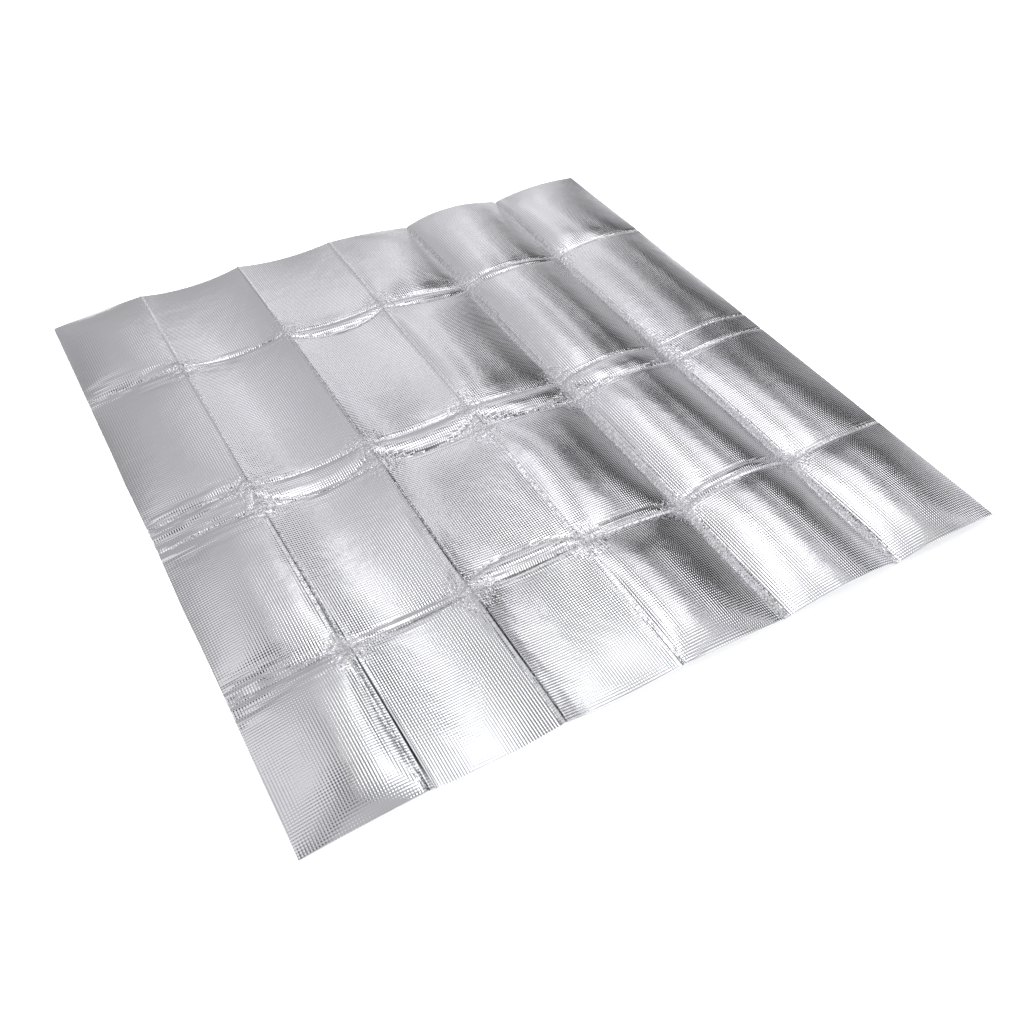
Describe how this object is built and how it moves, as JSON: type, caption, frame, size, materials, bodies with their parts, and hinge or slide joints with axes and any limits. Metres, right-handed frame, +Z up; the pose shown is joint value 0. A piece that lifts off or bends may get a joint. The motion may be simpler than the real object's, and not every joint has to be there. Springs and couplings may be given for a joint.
{
  "type": "folding foam sleeping pad",
  "caption": "Square foil-faced closed-cell foam sleeping pad, unfolded, whose panels fold along soft creases into a compact rectangular block.",
  "frame": {"origin": "on the floor, under the middle of the sheet's outline", "axes": "+X across the columns towards the flat column along the right edge, +Y towards the back edge, +Z up from the floor through the foil face"},
  "size_m": [1.9983, 1.998, 0.041],
  "materials": {
    "foam": "matt closed-cell foam",
    "foil": "embossed satin metallised film"
  },
  "bodies": {
    "back_edge_1": {"back_edge_1_foam": "foam", "back_edge_1_foil": "foil"},
    "back_edge_2": {"back_edge_2_foam": "foam", "back_edge_2_foil": "foil"},
    "back_edge_3": {"back_edge_3_foam": "foam", "back_edge_3_foil": "foil"},
    "back_edge_4": {"back_edge_4_foam": "foam", "back_edge_4_foil": "foil"},
    "back_edge_5": {"back_edge_5_foam": "foam", "back_edge_5_foil": "foil"},
    "back_edge_6": {"back_edge_6_foam": "foam", "back_edge_6_foil": "foil"},
    "back_inner_1": {"back_inner_1_foam": "foam", "back_inner_1_foil": "foil"},
    "back_inner_2": {"back_inner_2_foam": "foam", "back_inner_2_foil": "foil"},
    "back_inner_3": {"back_inner_3_foam": "foam", "back_inner_3_foil": "foil"},
    "back_inner_4": {"back_inner_4_foam": "foam", "back_inner_4_foil": "foil"},
    "back_inner_5": {"back_inner_5_foam": "foam", "back_inner_5_foil": "foil"},
    "back_inner_6": {"back_inner_6_foam": "foam", "back_inner_6_foil": "foil"},
    "fold_band_1": {"fold_band_1_foam": "foam", "fold_band_1_foil": "foil"},
    "fold_band_2": {"fold_band_2_foam": "foam", "fold_band_2_foil": "foil"},
    "fold_band_3": {"fold_band_3_foam": "foam", "fold_band_3_foil": "foil"},
    "fold_band_4": {"fold_band_4_foam": "foam", "fold_band_4_foil": "foil"},
    "fold_band_5": {"fold_band_5_foam": "foam", "fold_band_5_foil": "foil"},
    "fold_band_6": {"fold_band_6_foam": "foam", "fold_band_6_foil": "foil"},
    "front_inner_1": {"front_inner_1_foam": "foam", "front_inner_1_foil": "foil"},
    "front_inner_2": {"front_inner_2_foam": "foam", "front_inner_2_foil": "foil"},
    "front_inner_3": {"front_inner_3_foam": "foam", "front_inner_3_foil": "foil"},
    "front_inner_4": {"front_inner_4_foam": "foam", "front_inner_4_foil": "foil"},
    "front_inner_5": {"front_inner_5_foam": "foam", "front_inner_5_foil": "foil"},
    "front_inner_6": {"front_inner_6_foam": "foam", "front_inner_6_foil": "foil"},
    "front_edge_1": {"front_edge_1_foam": "foam", "front_edge_1_foil": "foil"},
    "front_edge_2": {"front_edge_2_foam": "foam", "front_edge_2_foil": "foil"},
    "front_edge_3": {"front_edge_3_foam": "foam", "front_edge_3_foil": "foil"},
    "front_edge_4": {"front_edge_4_foam": "foam", "front_edge_4_foil": "foil"},
    "front_edge_5": {"front_edge_5_foam": "foam", "front_edge_5_foil": "foil"},
    "front_edge_6": {"front_edge_6_foam": "foam", "front_edge_6_foil": "foil"}
  },
  "joints": [
    {"name": "back_edge_crease_5", "type": "hinge", "parent": "back_edge_6", "child": "back_edge_5", "pos_m": [0.65867, 0.788, 0.004], "axis": [0, 1, 0], "range_deg": [0, 180.01]},
    {"name": "back_edge_crease_4", "type": "hinge", "parent": "back_edge_5", "child": "back_edge_4", "pos_m": [0.28328, 0.788, -0.001], "axis": [0, -1, 0], "range_deg": [0, 185.66]},
    {"name": "back_edge_crease_3", "type": "hinge", "parent": "back_edge_4", "child": "back_edge_3", "pos_m": [-0.02976, 0.788, 0.03499], "axis": [0, 1, 0], "range_deg": [0, 184.46]},
    {"name": "back_edge_crease_2", "type": "hinge", "parent": "back_edge_3", "child": "back_edge_2", "pos_m": [-0.36433, 0.788, 0.037], "axis": [0, -1, 0], "range_deg": [0, 177.46]},
    {"name": "back_edge_crease_1", "type": "hinge", "parent": "back_edge_2", "child": "back_edge_1", "pos_m": [-0.70492, 0.788, 0.03399], "axis": [0, 1, 0], "range_deg": [0, 184.46]},
    {"name": "column_fold", "type": "hinge", "parent": "back_inner_6", "child": "back_inner_5", "pos_m": [0.65867, 0.29, 0.004], "axis": [0, 1, 0], "range_deg": [0, 180]},
    {"name": "back_inner_crease_4", "type": "hinge", "parent": "back_inner_5", "child": "back_inner_4", "pos_m": [0.28328, 0.29, -0.001], "axis": [0, -1, 0], "range_deg": [0, 185.66]},
    {"name": "back_inner_crease_3", "type": "hinge", "parent": "back_inner_4", "child": "back_inner_3", "pos_m": [-0.02976, 0.29, 0.03499], "axis": [0, 1, 0], "range_deg": [0, 184.46]},
    {"name": "back_inner_crease_2", "type": "hinge", "parent": "back_inner_3", "child": "back_inner_2", "pos_m": [-0.36433, 0.29, 0.037], "axis": [0, -1, 0], "range_deg": [0, 177.46]},
    {"name": "back_inner_crease_1", "type": "hinge", "parent": "back_inner_2", "child": "back_inner_1", "pos_m": [-0.70492, 0.29, 0.03399], "axis": [0, 1, 0], "range_deg": [0, 184.46]},
    {"name": "fold_band_crease_5", "type": "hinge", "parent": "fold_band_6", "child": "fold_band_5", "pos_m": [0.65867, -0.041, 0.004], "axis": [0, 1, 0], "range_deg": [0, 180.01]},
    {"name": "fold_band_crease_4", "type": "hinge", "parent": "fold_band_5", "child": "fold_band_4", "pos_m": [0.28328, -0.041, -0.001], "axis": [0, -1, 0], "range_deg": [0, 185.66]},
    {"name": "fold_band_crease_3", "type": "hinge", "parent": "fold_band_4", "child": "fold_band_3", "pos_m": [-0.02976, -0.041, 0.03499], "axis": [0, 1, 0], "range_deg": [0, 184.46]},
    {"name": "fold_band_crease_2", "type": "hinge", "parent": "fold_band_3", "child": "fold_band_2", "pos_m": [-0.36433, -0.041, 0.037], "axis": [0, -1, 0], "range_deg": [0, 177.46]},
    {"name": "fold_band_crease_1", "type": "hinge", "parent": "fold_band_2", "child": "fold_band_1", "pos_m": [-0.70492, -0.041, 0.03399], "axis": [0, 1, 0], "range_deg": [0, 184.46]},
    {"name": "front_inner_crease_5", "type": "hinge", "parent": "front_inner_6", "child": "front_inner_5", "pos_m": [0.65867, -0.3365, 0.004], "axis": [0, 1, 0], "range_deg": [0, 180.01]},
    {"name": "front_inner_crease_4", "type": "hinge", "parent": "front_inner_5", "child": "front_inner_4", "pos_m": [0.28328, -0.3365, -0.001], "axis": [0, -1, 0], "range_deg": [0, 185.66]},
    {"name": "front_inner_crease_3", "type": "hinge", "parent": "front_inner_4", "child": "front_inner_3", "pos_m": [-0.02976, -0.3365, 0.03499], "axis": [0, 1, 0], "range_deg": [0, 184.46]},
    {"name": "front_inner_crease_2", "type": "hinge", "parent": "front_inner_3", "child": "front_inner_2", "pos_m": [-0.36433, -0.3365, 0.037], "axis": [0, -1, 0], "range_deg": [0, 177.46]},
    {"name": "front_inner_crease_1", "type": "hinge", "parent": "front_inner_2", "child": "front_inner_1", "pos_m": [-0.70492, -0.3365, 0.03399], "axis": [0, 1, 0], "range_deg": [0, 184.46]},
    {"name": "front_edge_crease_5", "type": "hinge", "parent": "front_edge_6", "child": "front_edge_5", "pos_m": [0.65867, -0.7935, 0.004], "axis": [0, 1, 0], "range_deg": [0, 180.01]},
    {"name": "front_edge_crease_4", "type": "hinge", "parent": "front_edge_5", "child": "front_edge_4", "pos_m": [0.28328, -0.7935, -0.001], "axis": [0, -1, 0], "range_deg": [0, 185.66]},
    {"name": "front_edge_crease_3", "type": "hinge", "parent": "front_edge_4", "child": "front_edge_3", "pos_m": [-0.02976, -0.7935, 0.03499], "axis": [0, 1, 0], "range_deg": [0, 184.46]},
    {"name": "front_edge_crease_2", "type": "hinge", "parent": "front_edge_3", "child": "front_edge_2", "pos_m": [-0.36433, -0.7935, 0.037], "axis": [0, -1, 0], "range_deg": [0, 177.46]},
    {"name": "front_edge_crease_1", "type": "hinge", "parent": "front_edge_2", "child": "front_edge_1", "pos_m": [-0.70492, -0.7935, 0.03399], "axis": [0, 1, 0], "range_deg": [0, 184.46]},
    {"name": "half_fold", "type": "hinge", "parent": "fold_band_6", "child": "back_inner_6", "pos_m": [0.82933, 0.004, -0.001], "axis": [-1, 0, 0], "range_deg": [0, 90]},
    {"name": "half_fold_front", "type": "hinge", "parent": "fold_band_6", "child": "front_inner_6", "pos_m": [0.82933, -0.086, -0.001], "axis": [1, 0, 0], "range_deg": [0, 90.01]},
    {"name": "gate_fold", "type": "hinge", "parent": "back_inner_6", "child": "back_edge_6", "pos_m": [0.82933, 0.576, -0.001], "axis": [-1, 0, 0], "range_deg": [0, 180]},
    {"name": "gate_fold_front", "type": "hinge", "parent": "front_inner_6", "child": "front_edge_6", "pos_m": [0.82933, -0.587, -0.001], "axis": [1, 0, 0], "range_deg": [0, 180.01]}
  ],
  "couplings": [
    {"joint": "back_edge_crease_5", "follows": "column_fold", "ratio": 1},
    {"joint": "back_edge_crease_4", "follows": "column_fold", "ratio": 1.0314},
    {"joint": "back_edge_crease_3", "follows": "column_fold", "ratio": 1.0247},
    {"joint": "back_edge_crease_2", "follows": "column_fold", "ratio": 0.98586},
    {"joint": "back_edge_crease_1", "follows": "column_fold", "ratio": 1.0247},
    {"joint": "back_inner_crease_4", "follows": "column_fold", "ratio": 1.0314},
    {"joint": "back_inner_crease_3", "follows": "column_fold", "ratio": 1.0247},
    {"joint": "back_inner_crease_2", "follows": "column_fold", "ratio": 0.98586},
    {"joint": "back_inner_crease_1", "follows": "column_fold", "ratio": 1.0247},
    {"joint": "fold_band_crease_5", "follows": "column_fold", "ratio": 1},
    {"joint": "fold_band_crease_4", "follows": "column_fold", "ratio": 1.0314},
    {"joint": "fold_band_crease_3", "follows": "column_fold", "ratio": 1.0247},
    {"joint": "fold_band_crease_2", "follows": "column_fold", "ratio": 0.98586},
    {"joint": "fold_band_crease_1", "follows": "column_fold", "ratio": 1.0247},
    {"joint": "front_inner_crease_5", "follows": "column_fold", "ratio": 1},
    {"joint": "front_inner_crease_4", "follows": "column_fold", "ratio": 1.0314},
    {"joint": "front_inner_crease_3", "follows": "column_fold", "ratio": 1.0247},
    {"joint": "front_inner_crease_2", "follows": "column_fold", "ratio": 0.98586},
    {"joint": "front_inner_crease_1", "follows": "column_fold", "ratio": 1.0247},
    {"joint": "front_edge_crease_5", "follows": "column_fold", "ratio": 1},
    {"joint": "front_edge_crease_4", "follows": "column_fold", "ratio": 1.0314},
    {"joint": "front_edge_crease_3", "follows": "column_fold", "ratio": 1.0247},
    {"joint": "front_edge_crease_2", "follows": "column_fold", "ratio": 0.98586},
    {"joint": "front_edge_crease_1", "follows": "column_fold", "ratio": 1.0247},
    {"joint": "half_fold_front", "follows": "half_fold", "ratio": 1},
    {"joint": "gate_fold_front", "follows": "gate_fold", "ratio": 1}
  ]
}
